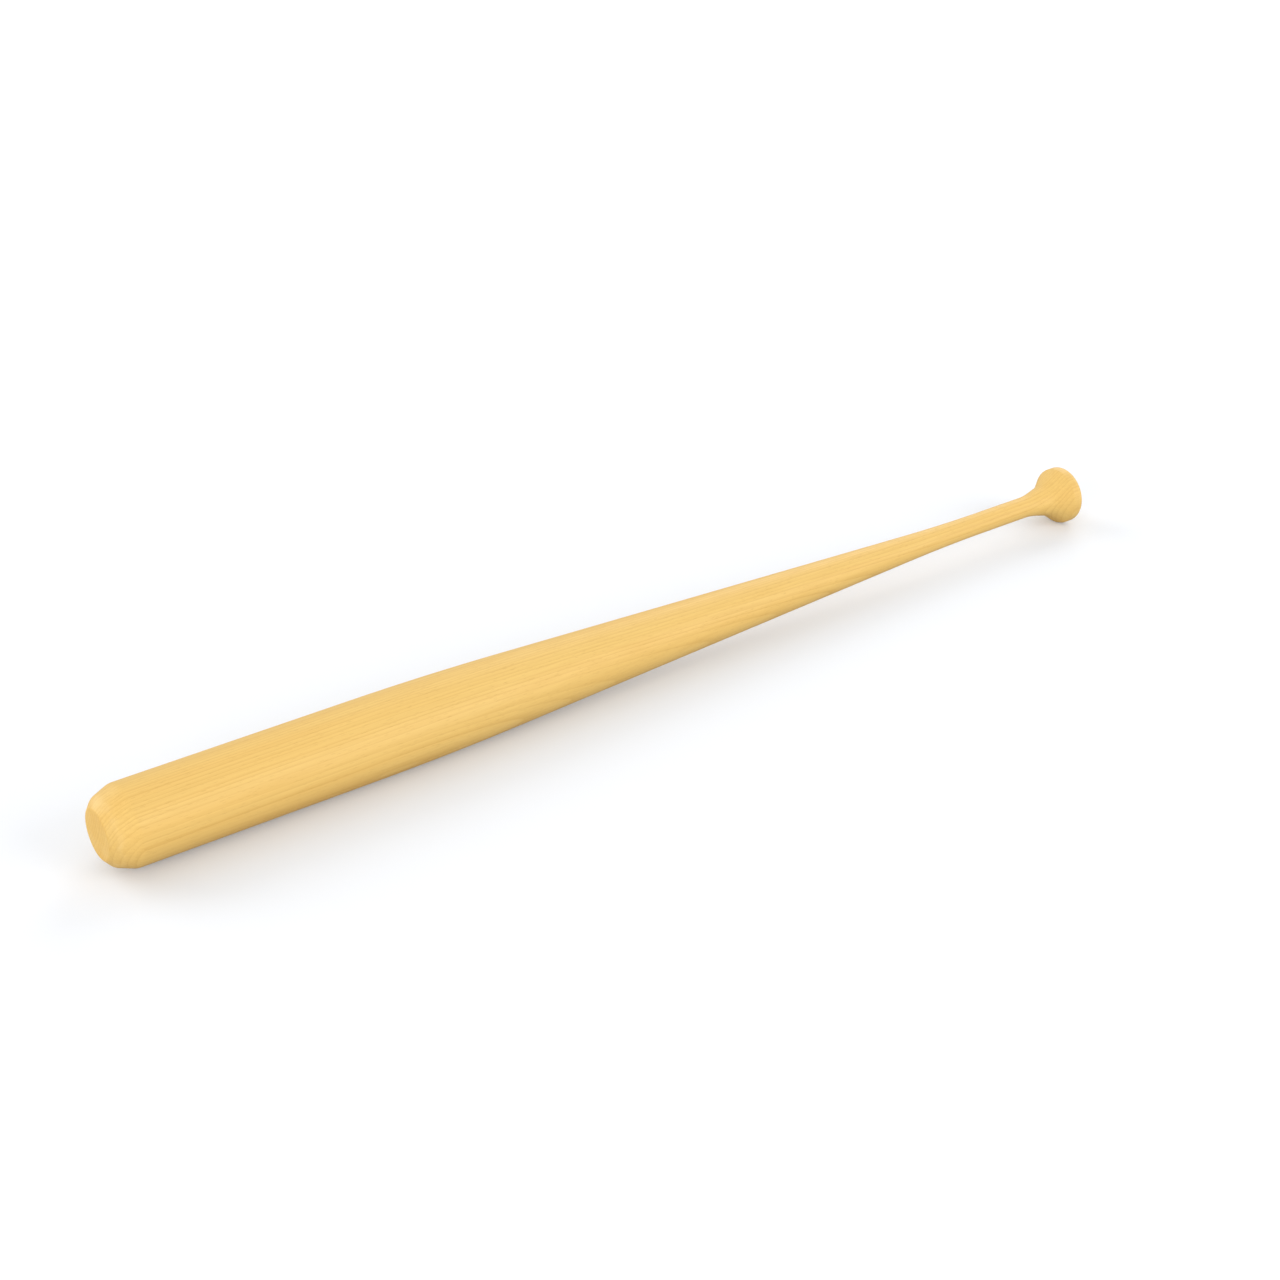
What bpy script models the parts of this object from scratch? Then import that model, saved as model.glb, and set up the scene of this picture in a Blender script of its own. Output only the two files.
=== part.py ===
"""One-piece wooden ball bat, turned from a single billet, lying along +X with +Z up.

The origin is the centre of the knob's flat end face, and +X runs up the handle to the barrel end.
Lengths are in metres. The round surface is made of flats. Each flat touches the true round along
its middle, and one row of flats faces straight down, so that the bat can lie on it.
"""
import math

import bmesh
import bpy
from mathutils import Vector

# Lengths along the axis
BAT_LENGTH = 0.8636            # overall, 34 inches
KNOB_BEVEL_LENGTH = 0.0062     # bevel between the knob's flat end face and its rim
RIM_WIDTH = 0.0072             # straight edge of the knob
FLARE_LENGTH = 0.0135          # steep cone behind the rim
NECK_LENGTH = 0.0188           # gentle cone between the flare and the grip
HANDLE_LENGTH = 0.0906         # straight grip, between the neck and the taper
BARREL_LENGTH = 0.2547         # barrel, its bevelled end included
END_BEVEL_LENGTH = 0.0128      # gentle bevel beside the barrel
FACE_BEVEL_LENGTH = 0.0052     # steep bevel beside the barrel's flat end face

# Diameters
KNOB_FACE_DIAMETER = 0.0315
KNOB_DIAMETER = 0.0454
NECK_DIAMETER = 0.0258         # where the neck meets the flare
HANDLE_DIAMETER = 0.0169
BARREL_DIAMETER = 0.0579
END_BEVEL_DIAMETER = 0.0480    # where the two bevels of the barrel's end meet
BARREL_FACE_DIAMETER = 0.0358

# How far each corner of the outline is eased, to each side of it
KNOB_FACE_EASE = 0.0015
RIM_EASE = 0.0010
FLARE_EASE = 0.004
NECK_EASE = 0.006
GRIP_EASE = 0.040
SHOULDER_EASE = 0.060
END_BEVEL_EASE = 0.0022
BARREL_FACE_EASE = 0.0010

# Fineness of the surface
SIDES = 24                     # flats around the bat, a multiple of 4
CORNER_STEPS = 4               # straight steps in each eased corner of the profile
SHARP_ANGLE = math.radians(35)

# Pale hardwood under clear lacquer
WOOD_COLOUR = (0.87, 0.60, 0.20, 1.0)
WOOD_ROUGHNESS = 0.42
WOOD_METALLIC = 0.0


def eased_corner(before, corner, after, reach):
    """Smooth curve in place of a corner, from reach before it to reach past it."""
    start = corner + (before - corner).normalized() * reach
    end = corner + (after - corner).normalized() * reach
    points = []
    for step in range(CORNER_STEPS + 1):
        share = step / CORNER_STEPS
        points.append(start * (1 - share) ** 2 + corner * 2 * share * (1 - share) + end * share ** 2)
    return points


def bat_profile():
    """Outline from the knob's end face to the barrel's end face, as (x, radius) points."""
    knob_face = Vector((0.0, KNOB_FACE_DIAMETER / 2))
    rim_start = Vector((KNOB_BEVEL_LENGTH, KNOB_DIAMETER / 2))
    rim_end = Vector((rim_start.x + RIM_WIDTH, KNOB_DIAMETER / 2))
    flare_end = Vector((rim_end.x + FLARE_LENGTH, NECK_DIAMETER / 2))
    grip_start = Vector((flare_end.x + NECK_LENGTH, HANDLE_DIAMETER / 2))
    taper_start = Vector((grip_start.x + HANDLE_LENGTH, HANDLE_DIAMETER / 2))
    shoulder = Vector((BAT_LENGTH - BARREL_LENGTH, BARREL_DIAMETER / 2))
    barrel_face = Vector((BAT_LENGTH, BARREL_FACE_DIAMETER / 2))
    bevels_meet = Vector((barrel_face.x - FACE_BEVEL_LENGTH, END_BEVEL_DIAMETER / 2))
    barrel_end = Vector((bevels_meet.x - END_BEVEL_LENGTH, BARREL_DIAMETER / 2))

    knob_centre = Vector((0.0, 0.0))
    barrel_centre = Vector((BAT_LENGTH, 0.0))
    corners = (
        (knob_face, KNOB_FACE_EASE),
        (rim_start, RIM_EASE),
        (rim_end, RIM_EASE),
        (flare_end, FLARE_EASE),
        (grip_start, NECK_EASE),
        (taper_start, GRIP_EASE),
        (shoulder, SHOULDER_EASE),
        (barrel_end, END_BEVEL_EASE),
        (bevels_meet, END_BEVEL_EASE),
        (barrel_face, BARREL_FACE_EASE),
    )
    places = [knob_centre] + [corner for corner, reach in corners] + [barrel_centre]
    profile = []
    for before, (corner, reach), after in zip(places, corners, places[2:]):
        profile += eased_corner(before, corner, after, reach)
    return profile


def turned_solid(name, profile):
    """Closed solid made by turning the profile about the X axis, with a flat disc at each end."""
    flat_angle = 2 * math.pi / SIDES
    corner_scale = 1 / math.cos(flat_angle / 2)
    start_angle = -math.pi / 2 - flat_angle / 2

    shape = bmesh.new()
    outline = []
    for x, radius in profile:
        reach = radius * corner_scale
        y = reach * math.cos(start_angle)
        z = reach * math.sin(start_angle)
        outline.append(shape.verts.new((x, y, z)))
    edges = [shape.edges.new(pair) for pair in zip(outline, outline[1:])]
    bmesh.ops.spin(
        shape,
        geom=outline + edges,
        cent=(0, 0, 0),
        axis=(1, 0, 0),
        angle=2 * math.pi,
        steps=SIDES,
        use_merge=True,
    )
    bmesh.ops.holes_fill(shape, edges=shape.edges, sides=SIDES)
    bmesh.ops.recalc_face_normals(shape, faces=shape.faces)

    mesh = bpy.data.meshes.new(name)
    shape.to_mesh(mesh)
    shape.free()
    mesh.shade_smooth()
    mesh.set_sharp_from_angle(angle=SHARP_ANGLE)
    solid = bpy.data.objects.new(name, mesh)
    bpy.context.scene.collection.objects.link(solid)
    return solid


def lacquered_wood():
    """Pale hardwood with a satin clear coat."""
    material = bpy.data.materials.new("lacquered_wood")
    material.use_nodes = True
    shader = material.node_tree.nodes["Principled BSDF"]
    shader.inputs["Base Color"].default_value = WOOD_COLOUR
    shader.inputs["Roughness"].default_value = WOOD_ROUGHNESS
    shader.inputs["Metallic"].default_value = WOOD_METALLIC
    return material


def build_bat():
    for leftover in list(bpy.data.objects):
        bpy.data.objects.remove(leftover, do_unlink=True)
    bat = turned_solid("turned_bat_body", bat_profile())
    bat.data.materials.append(lacquered_wood())


build_bat()
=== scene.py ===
"""A wooden ball bat as it comes from the lathe: one billet of pale hardwood under clear satin lacquer.

The bat lies along +X with its knob at the origin and +Z up. Lengths are in metres. The surface is
turned round from the same outline as the CAD body, which stands in for it with 24 flats.
"""
import math

import bmesh
import bpy
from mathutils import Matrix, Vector


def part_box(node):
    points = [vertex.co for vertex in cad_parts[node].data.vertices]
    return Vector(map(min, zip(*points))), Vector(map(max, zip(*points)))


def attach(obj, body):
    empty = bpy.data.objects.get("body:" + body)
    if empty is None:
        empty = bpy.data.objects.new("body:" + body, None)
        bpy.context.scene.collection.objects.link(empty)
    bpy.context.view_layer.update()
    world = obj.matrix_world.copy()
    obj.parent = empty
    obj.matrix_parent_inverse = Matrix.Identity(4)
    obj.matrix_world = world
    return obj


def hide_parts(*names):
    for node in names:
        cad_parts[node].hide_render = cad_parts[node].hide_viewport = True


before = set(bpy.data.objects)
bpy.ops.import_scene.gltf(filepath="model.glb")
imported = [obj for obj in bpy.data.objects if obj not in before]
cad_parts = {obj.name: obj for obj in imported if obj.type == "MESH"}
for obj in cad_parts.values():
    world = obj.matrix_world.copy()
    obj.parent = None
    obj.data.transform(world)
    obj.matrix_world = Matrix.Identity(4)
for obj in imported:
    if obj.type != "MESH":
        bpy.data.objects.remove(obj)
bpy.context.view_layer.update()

BAT_NODE = "turned_bat_body"
BAT_SLOT = "lacquered_wood"

# Sizes. The overall length and the barrel come from the CAD body, and the rest repeat its own.
bat_low, bat_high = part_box(BAT_NODE)
BAT_LENGTH = bat_high.x - bat_low.x
BARREL_RADIUS = bat_high.z
KNOB_BEVEL_LENGTH = 0.0062
RIM_WIDTH = 0.0072
FLARE_LENGTH = 0.0135
NECK_LENGTH = 0.0188
HANDLE_LENGTH = 0.0906
BARREL_LENGTH = 0.2547
END_BEVEL_LENGTH = 0.0128
FACE_BEVEL_LENGTH = 0.0052
KNOB_FACE_RADIUS = 0.01575
KNOB_RADIUS = 0.0227
NECK_RADIUS = 0.0129
HANDLE_RADIUS = 0.00845
END_BEVEL_RADIUS = 0.0240
BARREL_FACE_RADIUS = 0.0179

# How far each corner of the outline is eased, to each side of it
KNOB_FACE_EASE = 0.0015
RIM_EASE = 0.0010
FLARE_EASE = 0.004
NECK_EASE = 0.006
GRIP_EASE = 0.040
SHOULDER_EASE = 0.060
END_BEVEL_EASE = 0.0022
BARREL_FACE_EASE = 0.0010

# Fineness of the turned surface
SIDES = 160
CORNER_STEPS = 8
LONGEST_STRETCH = 0.008        # along the bat, between two rings of points
LONGEST_FACE_STRETCH = 0.003   # across a flat end face
SAME_PLACE = 1e-6

# How the surface is laid out on the texture square: the unrolled side below, the end discs above it
SIDE_SHARE = 0.80
DISC_MIDDLES = (0.12, 0.36)    # of the knob's face and the barrel's face, along the square
DISC_SCALE = 5.2               # texture squares to a metre

# The camera, placed from the middle of the bat
CAMERA_TURN = math.radians(36.17)      # towards the barrel end, from square on
CAMERA_RISE = math.radians(28.87)
CAMERA_DISTANCE = 1.740
CAMERA_FIELD = math.radians(30)
AIM_FROM_BARREL_END = 0.4279
AIM_ABOVE_AXIS = 0.0025

# The studio
LAMP_DISTANCE = 6.0
LAMP_WIDTH = 4.8
FLOOR_REACH = 2.6
FLOOR_SIDES = 96


# ---------------------------------------------------------------------------------- outline

def eased_corner(before, corner, after, reach):
    """Smooth curve in place of a corner, from reach before it to reach past it."""
    start = corner + (before - corner).normalized() * reach
    end = corner + (after - corner).normalized() * reach
    points = []
    for step in range(CORNER_STEPS + 1):
        share = step / CORNER_STEPS
        points.append(start.lerp(corner, share).lerp(corner.lerp(end, share), share))
    return points


def lies_on_face(first, second):
    """True for a stretch of the outline that runs straight across a flat end face."""
    return abs(second.x - first.x) < SAME_PLACE


def with_short_stretches(outline):
    """The outline with points added, so that no stretch is too long for a smooth surface."""
    points = [outline[0]]
    for first, second in zip(outline, outline[1:]):
        longest = LONGEST_FACE_STRETCH if lies_on_face(first, second) else LONGEST_STRETCH
        count = math.ceil((second - first).length / longest)
        points += [first.lerp(second, step / count) for step in range(1, count + 1)]
    return points


def bat_outline():
    """Outline from the centre of the knob's end face to the centre of the barrel's, as (x, radius)."""
    knob_face = Vector((0.0, KNOB_FACE_RADIUS))
    rim_start = Vector((KNOB_BEVEL_LENGTH, KNOB_RADIUS))
    rim_end = Vector((rim_start.x + RIM_WIDTH, KNOB_RADIUS))
    flare_end = Vector((rim_end.x + FLARE_LENGTH, NECK_RADIUS))
    grip_start = Vector((flare_end.x + NECK_LENGTH, HANDLE_RADIUS))
    taper_start = Vector((grip_start.x + HANDLE_LENGTH, HANDLE_RADIUS))
    shoulder = Vector((BAT_LENGTH - BARREL_LENGTH, BARREL_RADIUS))
    barrel_face = Vector((BAT_LENGTH, BARREL_FACE_RADIUS))
    bevels_meet = Vector((barrel_face.x - FACE_BEVEL_LENGTH, END_BEVEL_RADIUS))
    barrel_end = Vector((bevels_meet.x - END_BEVEL_LENGTH, BARREL_RADIUS))

    knob_centre = Vector((0.0, 0.0))
    barrel_centre = Vector((BAT_LENGTH, 0.0))
    corners = (
        (knob_face, KNOB_FACE_EASE),
        (rim_start, RIM_EASE),
        (rim_end, RIM_EASE),
        (flare_end, FLARE_EASE),
        (grip_start, NECK_EASE),
        (taper_start, GRIP_EASE),
        (shoulder, SHOULDER_EASE),
        (barrel_end, END_BEVEL_EASE),
        (bevels_meet, END_BEVEL_EASE),
        (barrel_face, BARREL_FACE_EASE),
    )
    places = [knob_centre] + [corner for corner, reach in corners] + [barrel_centre]
    outline = [knob_centre]
    for before, (corner, reach), after in zip(places, corners, places[2:]):
        outline += eased_corner(before, corner, after, reach)
    return with_short_stretches(outline + [barrel_centre])


# ------------------------------------------------------------------------------ turned surface

def ring_of_points(shape, point):
    """One turn of points round the axis, from the underside. On the axis, they are all one point."""
    if point.y < SAME_PLACE:
        return [shape.verts.new((point.x, 0.0, 0.0))] * (SIDES + 1)
    ring = []
    for side in range(SIDES):
        angle = 2 * math.pi * side / SIDES - math.pi / 2
        ring.append(shape.verts.new((point.x, point.y * math.cos(angle), point.y * math.sin(angle))))
    return ring + ring[:1]


def running_shares(outline):
    """How far along the outline each of its points is, from 0 to 1."""
    lengths = [0.0]
    for first, second in zip(outline, outline[1:]):
        lengths.append(lengths[-1] + (second - first).length)
    return [length / lengths[-1] for length in lengths]


def turned_piece(name, outline):
    """The outline turned about the X axis into a closed surface, laid out on a texture square."""
    shape = bmesh.new()
    texture = shape.loops.layers.uv.new("OFBake")
    rings = [ring_of_points(shape, point) for point in outline]
    shares = running_shares(outline)
    for place, (first, second) in enumerate(zip(outline, outline[1:])):
        disc_middle = DISC_MIDDLES[0] if place < len(outline) / 2 else DISC_MIDDLES[1]
        for side in range(SIDES):
            corners = {}
            for ring, turn in ((place, side), (place, side + 1), (place + 1, side + 1), (place + 1, side)):
                point = rings[ring][turn]
                on_side = (shares[ring], SIDE_SHARE * turn / SIDES)
                on_disc = (
                    disc_middle + point.co.y * DISC_SCALE,
                    (1 + SIDE_SHARE) / 2 + point.co.z * DISC_SCALE,
                )
                corners[point] = on_disc if lies_on_face(first, second) else on_side
            face = shape.faces.new(list(corners))
            for loop in face.loops:
                loop[texture].uv = corners[loop.vert]

    mesh = bpy.data.meshes.new(name)
    shape.to_mesh(mesh)
    shape.free()
    mesh.shade_smooth()
    piece = bpy.data.objects.new(name, mesh)
    bpy.context.scene.collection.objects.link(piece)
    return piece


# ---------------------------------------------------------------------------- node shorthands

# Sockets of a Mix node that mixes colours, by their places
MIX_FACTOR = 0
MIX_FIRST = 6
MIX_SECOND = 7
MIX_RESULT = 2


def feed(tree, node, inputs):
    """Gives each input of a node a socket to link from, or a value."""
    for name, value in inputs.items():
        if isinstance(value, bpy.types.NodeSocket):
            tree.links.new(value, node.inputs[name])
        else:
            node.inputs[name].default_value = value


def add_node(tree, kind, inputs=None, **settings):
    """A new shader node, with its settings and then its inputs."""
    node = tree.nodes.new("ShaderNode" + kind)
    for name, value in settings.items():
        setattr(node, name, value)
    feed(tree, node, inputs or {})
    return node


def maths(tree, operation, *values):
    """The result of one sum on sockets and numbers."""
    return add_node(tree, "Math", dict(enumerate(values)), operation=operation).outputs[0]


def vector_maths(tree, operation, *values):
    """The result of one sum on vectors."""
    node = add_node(tree, "VectorMath", dict(enumerate(values)), operation=operation)
    return node.outputs["Value"] if operation == "LENGTH" else node.outputs["Vector"]


def mask(tree, value, low, high):
    """A smooth step from 0 to 1 as the value runs from low to high."""
    limits = {"Value": value, "From Min": low, "From Max": high}
    return add_node(tree, "MapRange", limits, interpolation_type="SMOOTHSTEP").outputs["Result"]


def blended(tree, factor, first, second, blend_type="MIX"):
    """Two colours mixed by a factor."""
    sockets = {MIX_FACTOR: factor, MIX_FIRST: first, MIX_SECOND: second}
    node = add_node(tree, "Mix", data_type="RGBA", blend_type=blend_type)
    feed(tree, node, sockets)
    return node.outputs[MIX_RESULT]


def new_group(name, inputs, outputs):
    """A shader node group with these sockets. Gives the tree, its inputs and its outputs."""
    tree = bpy.data.node_groups.new(name, "ShaderNodeTree")
    for label, default in inputs.items():
        kind = "NodeSocketVector" if default is None else "NodeSocketFloat"
        socket = tree.interface.new_socket(label, in_out="INPUT", socket_type=kind)
        if default is not None:
            socket.default_value = default
    for label in outputs:
        tree.interface.new_socket(label, in_out="OUTPUT", socket_type="NodeSocketFloat")
    entry = tree.nodes.new("NodeGroupInput")
    way_out = tree.nodes.new("NodeGroupOutput")
    return tree, entry.outputs, way_out.inputs


def place_group(tree, group, inputs):
    """A node that uses a group, with its inputs set. Gives its outputs."""
    node = tree.nodes.new("ShaderNodeGroup")
    node.node_tree = group
    feed(tree, node, inputs)
    return node.outputs


# ------------------------------------------------------------------------------- wood effects

# Growth rings
RING_DRIFT_STRETCH = (1.6, 11.0, 11.0)     # how fast the rings stray, along and across the bat
SEASON_RHYTHM = 0.31                       # runs of crowded and spread rings, to a ring
SEASON_SWING = 1.9                         # in rings
LATEWOOD_SHARPNESS = 3.2
NEW_SPRING = 0.94                          # share of a year at which the dark wood stops

# Streaks, pores and turning marks
STREAK_LIMITS = (0.28, 0.72)
STREAK_ROUGHNESS = 0.6
PORE_CORE = 0.4                            # dark middle of a pore, to its own size
MARK_ROUNDNESS = 14.0                      # how often a turning mark changes across the bat
RUBBED_LIMITS = (0.38, 0.66)


def growth_rings_group():
    """Growth rings round a pith that runs beside the bat, and leans a little across the grain."""
    tree, given, result = new_group(
        "growth_rings",
        {
            "Place": None,
            "Pith Across": 0.06,
            "Pith Up": -0.07,
            "Lean Across": 0.0,
            "Lean Up": 0.0,
            "Ring Width": 0.002,
            "Wander": 0.002,
        },
        ("Latewood", "Ring Tone"),
    )
    place = add_node(tree, "SeparateXYZ", {0: given["Place"]}).outputs
    drawn_out = vector_maths(tree, "MULTIPLY", given["Place"], RING_DRIFT_STRETCH)
    noise = add_node(tree, "TexNoise", {"Vector": drawn_out, "Scale": 1.0, "Detail": 2.0})
    drift = vector_maths(tree, "SUBTRACT", noise.outputs["Color"], (0.5, 0.5, 0.5))
    drift = add_node(tree, "SeparateXYZ", {0: drift}).outputs

    offsets = []
    for axis, pith, lean in (("Y", "Pith Across", "Lean Across"), ("Z", "Pith Up", "Lean Up")):
        leaned = maths(tree, "MULTIPLY_ADD", place["X"], given[lean], given[pith])
        straight = maths(tree, "SUBTRACT", place[axis], leaned)
        offsets.append(maths(tree, "MULTIPLY_ADD", drift[axis], given["Wander"], straight))
    from_pith = add_node(tree, "CombineXYZ", {"Y": offsets[0], "Z": offsets[1]}).outputs[0]
    count = maths(tree, "DIVIDE", vector_maths(tree, "LENGTH", from_pith), given["Ring Width"])

    # Wet and dry years: the rings crowd together and spread apart.
    seasons = add_node(
        tree, "TexNoise", {"W": count, "Scale": SEASON_RHYTHM, "Detail": 1.0}, noise_dimensions="1D"
    )
    count = maths(tree, "MULTIPLY_ADD", seasons.outputs["Fac"], SEASON_SWING, count)
    through_year = maths(tree, "FRACT", count)
    darkening = maths(tree, "POWER", through_year, LATEWOOD_SHARPNESS)
    new_spring = mask(tree, through_year, 1.0, NEW_SPRING)
    tree.links.new(maths(tree, "MULTIPLY", darkening, new_spring), result["Latewood"])
    year = maths(tree, "FLOOR", count)
    tone = add_node(tree, "TexWhiteNoise", {"W": year}, noise_dimensions="1D").outputs["Value"]
    tree.links.new(tone, result["Ring Tone"])
    return tree


def long_grain_group():
    """Soft streaks drawn out along the bat, as wood fibres and colour bands are."""
    tree, given, result = new_group(
        "long_grain",
        {"Place": None, "Along": 8.0, "Across": 400.0, "Detail": 3.0},
        ("Streaks",),
    )
    stretch = add_node(
        tree, "CombineXYZ", {"X": given["Along"], "Y": given["Across"], "Z": given["Across"]}
    ).outputs[0]
    noise = add_node(
        tree,
        "TexNoise",
        {
            "Vector": vector_maths(tree, "MULTIPLY", given["Place"], stretch),
            "Scale": 1.0,
            "Detail": given["Detail"],
            "Roughness": STREAK_ROUGHNESS,
        },
    )
    tree.links.new(mask(tree, noise.outputs["Fac"], *STREAK_LIMITS), result["Streaks"])
    return tree


def pores_group():
    """Fine open vessels: short dark dashes along the grain, which are dots on the end grain."""
    tree, given, result = new_group(
        "pores",
        {"Place": None, "Along": 90.0, "Across": 1500.0, "Size": 0.2},
        ("Pores",),
    )
    stretch = add_node(
        tree, "CombineXYZ", {"X": given["Along"], "Y": given["Across"], "Z": given["Across"]}
    ).outputs[0]
    cells = add_node(
        tree,
        "TexVoronoi",
        {"Vector": vector_maths(tree, "MULTIPLY", given["Place"], stretch), "Scale": 1.0},
    )
    inside = maths(tree, "DIVIDE", cells.outputs["Distance"], given["Size"])
    tree.links.new(mask(tree, inside, 1.0, PORE_CORE), result["Pores"])
    return tree


def turning_marks_group():
    """Faint rings that the gouge and the sanding leave round the bat."""
    tree, given, result = new_group("turning_marks", {"Place": None, "Pitch": 0.0006}, ("Marks",))
    place = add_node(tree, "SeparateXYZ", {0: given["Place"]}).outputs
    drawn_round = add_node(
        tree,
        "CombineXYZ",
        {
            "X": maths(tree, "DIVIDE", place["X"], given["Pitch"]),
            "Y": maths(tree, "MULTIPLY", place["Y"], MARK_ROUNDNESS),
            "Z": maths(tree, "MULTIPLY", place["Z"], MARK_ROUNDNESS),
        },
    ).outputs[0]
    noise = add_node(tree, "TexNoise", {"Vector": drawn_round, "Scale": 1.0, "Detail": 2.0})
    tree.links.new(noise.outputs["Fac"], result["Marks"])
    return tree


def rubbed_band_group():
    """Uneven rubbing of the finish on a band round the bat, strongest at its middle."""
    tree, given, result = new_group(
        "rubbed_band",
        {"Place": None, "Middle": 0.0, "Half Width": 0.01, "Patchiness": 90.0},
        ("Rubbed",),
    )
    place = add_node(tree, "SeparateXYZ", {0: given["Place"]}).outputs
    away = maths(tree, "ABSOLUTE", maths(tree, "SUBTRACT", place["X"], given["Middle"]))
    nearness = mask(tree, maths(tree, "DIVIDE", away, given["Half Width"]), 1.0, 0.0)
    patches = add_node(
        tree, "TexNoise", {"Vector": given["Place"], "Scale": given["Patchiness"], "Detail": 3.0}
    )
    uneven = mask(tree, patches.outputs["Fac"], *RUBBED_LIMITS)
    tree.links.new(maths(tree, "MULTIPLY", nearness, uneven), result["Rubbed"])
    return tree


# ----------------------------------------------------------------------------------- materials

SPRING_WOOD = (0.790, 0.533, 0.173, 1.0)
SUMMER_WOOD = (0.640, 0.375, 0.092, 1.0)
WARM_BAND = (1.0, 0.93, 0.82, 1.0)
FIBRE_SHADE = (0.90, 0.85, 0.78, 1.0)
PORE_SHADE = (0.70, 0.58, 0.45, 1.0)
END_GRAIN_SHADE = (0.985, 0.955, 0.86, 1.0)
RUBBED_WOOD = (0.86, 0.66, 0.34, 1.0)
PAPER_BOUNCE = (0.45, 0.45, 0.45, 1.0)
PAPER_SEEN = (0.785, 0.792, 0.803, 1.0)
PAPER_GLOW = (0.096, 0.110, 0.130, 1.0)
BLACK = (0.0, 0.0, 0.0, 1.0)
WHITE = (1.0, 1.0, 1.0, 1.0)
SURROUND_LIGHT = (0.666, 0.666, 0.666, 1.0)

# How strongly each effect colours the wood
RING_DEPTH = 0.34
RING_DEPTH_VARIES = 0.30       # more, from ring to ring
BAND_DEPTH = 0.55
FIBRE_DEPTH = 0.50
PORE_DEPTH = 0.45
RUBBED_DEPTH = 0.30
END_GRAIN_LIMITS = (0.80, 0.98)    # how squarely a surface faces along the bat, to count as end grain

# The lacquer's roughness, and what each effect adds to it
LACQUER_ROUGHNESS = 0.42
FIBRES_ROUGHEN = 0.06
PORES_ROUGHEN = 0.10
RUBBING_ROUGHENS = 0.15
LACQUER_GLOSS = 0.20

# Relief: the height of each effect, to the depth of the relief
RELIEF_DEPTH = 0.00006
RELIEF_STRENGTH = 0.5
MARKS_RISE = 0.5
LATEWOOD_RISE = 0.35
FIBRES_RISE = -0.25
PORES_RISE = -0.8


def lacquered_wood():
    """Pale ring-marked hardwood with fine pores, under a thin clear coat."""
    material = bpy.data.materials.new(BAT_SLOT)
    material.use_nodes = True
    tree = material.node_tree
    shader = tree.nodes["Principled BSDF"]
    place = add_node(tree, "TexCoord").outputs["Object"]
    facing = add_node(tree, "SeparateXYZ", {0: add_node(tree, "NewGeometry").outputs["Normal"]})
    end_grain = mask(tree, maths(tree, "ABSOLUTE", facing.outputs["X"]), *END_GRAIN_LIMITS)

    rings = place_group(
        tree,
        growth_rings_group(),
        {
            "Place": place,
            "Pith Across": -0.075,
            "Pith Up": 0.035,
            "Lean Across": 0.006,
            "Lean Up": 0.009,
            "Ring Width": 0.0026,
            "Wander": 0.007,
        },
    )
    long_grain = long_grain_group()
    bands = place_group(tree, long_grain, {"Place": place, "Along": 2.4, "Across": 45.0, "Detail": 2.0})
    fibres = place_group(tree, long_grain, {"Place": place, "Along": 14.0, "Across": 620.0})
    pores = place_group(tree, pores_group(), {"Place": place, "Size": 0.24})
    marks = place_group(tree, turning_marks_group(), {"Place": place, "Pitch": 0.0007})
    rubbed_band = rubbed_band_group()
    rubbed_rim = place_group(
        tree, rubbed_band, {"Place": place, "Middle": KNOB_BEVEL_LENGTH, "Half Width": 0.0035}
    )
    rubbed_end = place_group(
        tree, rubbed_band, {"Place": place, "Middle": BAT_LENGTH - 0.003, "Half Width": 0.007}
    )
    rubbed = maths(tree, "MAXIMUM", rubbed_rim["Rubbed"], rubbed_end["Rubbed"])

    ring_depth = maths(tree, "MULTIPLY_ADD", rings["Ring Tone"], RING_DEPTH_VARIES, RING_DEPTH)
    latewood = maths(tree, "MULTIPLY", rings["Latewood"], ring_depth)
    colour = blended(tree, latewood, SPRING_WOOD, SUMMER_WOOD)
    for effect, depth, shade in (
        (bands["Streaks"], BAND_DEPTH, WARM_BAND),
        (fibres["Streaks"], FIBRE_DEPTH, FIBRE_SHADE),
        (pores["Pores"], PORE_DEPTH, PORE_SHADE),
        (end_grain, 1.0, END_GRAIN_SHADE),
    ):
        colour = blended(tree, maths(tree, "MULTIPLY", effect, depth), colour, shade, "MULTIPLY")
    colour = blended(tree, maths(tree, "MULTIPLY", rubbed, RUBBED_DEPTH), colour, RUBBED_WOOD)
    tree.links.new(colour, shader.inputs["Base Color"])

    roughness = LACQUER_ROUGHNESS
    for effect, more in (
        (fibres["Streaks"], FIBRES_ROUGHEN),
        (pores["Pores"], PORES_ROUGHEN),
        (rubbed, RUBBING_ROUGHENS),
    ):
        roughness = maths(tree, "MULTIPLY_ADD", effect, more, roughness)
    tree.links.new(roughness, shader.inputs["Roughness"])
    shader.inputs["Specular IOR Level"].default_value = LACQUER_GLOSS

    height = 0.0
    for effect, rise in (
        (marks["Marks"], MARKS_RISE),
        (rings["Latewood"], LATEWOOD_RISE),
        (fibres["Streaks"], FIBRES_RISE),
        (pores["Pores"], PORES_RISE),
    ):
        height = maths(tree, "MULTIPLY_ADD", effect, rise, height)
    bump = add_node(
        tree, "Bump", {"Height": height, "Strength": RELIEF_STRENGTH, "Distance": RELIEF_DEPTH}
    )
    tree.links.new(bump.outputs["Normal"], shader.inputs["Normal"])
    return material


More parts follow.
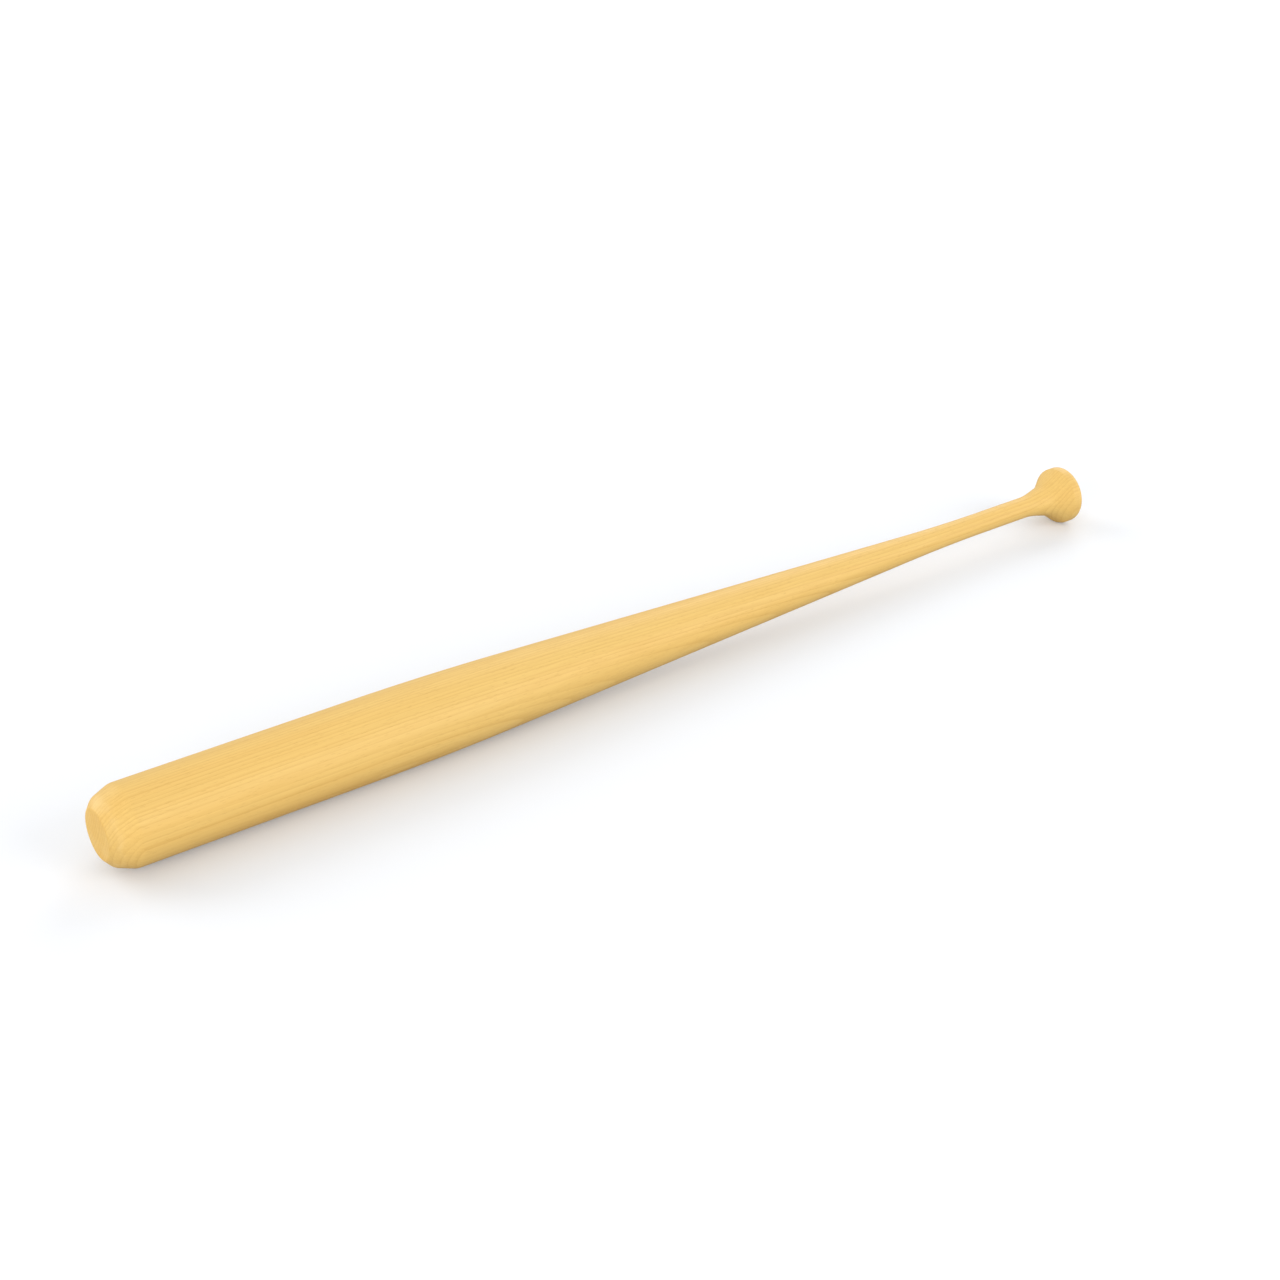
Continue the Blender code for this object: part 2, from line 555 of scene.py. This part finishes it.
def studio_paper():
    """White paper that looks brighter to the camera than the light that it throws back on the bat."""
    material = bpy.data.materials.new("studio_paper")
    material.use_nodes = True
    tree = material.node_tree
    shader = tree.nodes["Principled BSDF"]
    seen = add_node(tree, "LightPath").outputs["Is Camera Ray"]
    tree.links.new(blended(tree, seen, PAPER_BOUNCE, PAPER_SEEN), shader.inputs["Base Color"])
    tree.links.new(blended(tree, seen, BLACK, PAPER_GLOW), shader.inputs["Emission Color"])
    shader.inputs["Emission Strength"].default_value = 1.0
    shader.inputs["Roughness"].default_value = 1.0
    shader.inputs["Specular IOR Level"].default_value = 0.0
    return material


# --------------------------------------------------------------------------------------- stage

def resting_slope(outline):
    """Slope of the floor that the knob and the barrel both touch, as the outline leaves the knob's rim."""
    rim = max((point for point in outline if point.x < 2 * KNOB_RADIUS), key=lambda point: point.y)
    slopes = [(point.y - rim.y) / (point.x - rim.x) for point in outline if point.x > 2 * KNOB_RADIUS]
    return rim, max(slopes)


def add_floor(outline, aim):
    """A round plain floor that touches the knob's rim and the barrel, as when the bat lies at rest."""
    rim, slope = resting_slope(outline)
    edge = []
    for step in range(FLOOR_SIDES):
        turn = 2 * math.pi * step / FLOOR_SIDES
        x = aim.x + FLOOR_REACH * math.cos(turn)
        edge.append((x, FLOOR_REACH * math.sin(turn), -rim.y - slope * (x - rim.x)))
    mesh = bpy.data.meshes.new("floor")
    mesh.from_pydata(edge, [], [range(FLOOR_SIDES)])
    mesh.materials.append(studio_paper())
    floor = bpy.data.objects.new("floor", mesh)
    bpy.context.scene.collection.objects.link(floor)


def add_camera(aim):
    """The camera, on a circle round the point that it looks at."""
    outward = Vector((
        math.sin(CAMERA_TURN) * math.cos(CAMERA_RISE),
        math.cos(CAMERA_TURN) * math.cos(CAMERA_RISE),
        math.sin(CAMERA_RISE),
    ))
    camera = bpy.data.objects.new("camera", bpy.data.cameras.new("camera"))
    camera.data.angle = CAMERA_FIELD
    camera.location = aim + outward * CAMERA_DISTANCE
    camera.rotation_euler = outward.to_track_quat("Z", "Y").to_euler()
    bpy.context.scene.collection.objects.link(camera)
    bpy.context.scene.camera = camera


def add_soft_lamp(name, aim, tilt, turn, power):
    """A large soft lamp that faces the bat, tilted from overhead and turned from the +Y side."""
    tilt = math.radians(tilt)
    turn = math.radians(turn)
    direction = Vector((
        math.sin(tilt) * math.sin(turn),
        math.sin(tilt) * math.cos(turn),
        math.cos(tilt),
    ))
    lamp = bpy.data.objects.new(name, bpy.data.lights.new(name, "AREA"))
    lamp.data.shape = "DISK"
    lamp.data.size = LAMP_WIDTH
    lamp.data.energy = power
    lamp.location = aim + direction * LAMP_DISTANCE
    lamp.rotation_euler = direction.to_track_quat("Z", "Y").to_euler()
    bpy.context.scene.collection.objects.link(lamp)


def light_the_studio(aim):
    """An even white surround with four large soft lamps, two behind the bat and two in front."""
    world = bpy.data.worlds.new("studio")
    world.use_nodes = True
    tree = world.node_tree
    seen = add_node(tree, "LightPath").outputs["Is Camera Ray"]
    surround = blended(tree, seen, SURROUND_LIGHT, WHITE)
    tree.links.new(surround, tree.nodes["Background"].inputs["Color"])
    bpy.context.scene.world = world
    add_soft_lamp("back_lamp_barrel", aim, tilt=65, turn=150, power=148)
    add_soft_lamp("back_lamp_knob", aim, tilt=65, turn=240, power=130)
    add_soft_lamp("front_lamp_knob", aim, tilt=70, turn=-30, power=180)
    add_soft_lamp("front_lamp_barrel", aim, tilt=82, turn=64, power=235)
    bpy.context.scene.view_settings.view_transform = "Standard"


# ------------------------------------------------------------------------------------- the bat

outline = bat_outline()
bat = turned_piece("turned_bat", outline)
bat.data.materials.append(lacquered_wood())
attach(bat, "root")
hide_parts(BAT_NODE)

aim_point = Vector((BAT_LENGTH - AIM_FROM_BARREL_END, 0.0, AIM_ABOVE_AXIS))
add_floor(outline, aim_point)
add_camera(aim_point)
light_the_studio(aim_point)
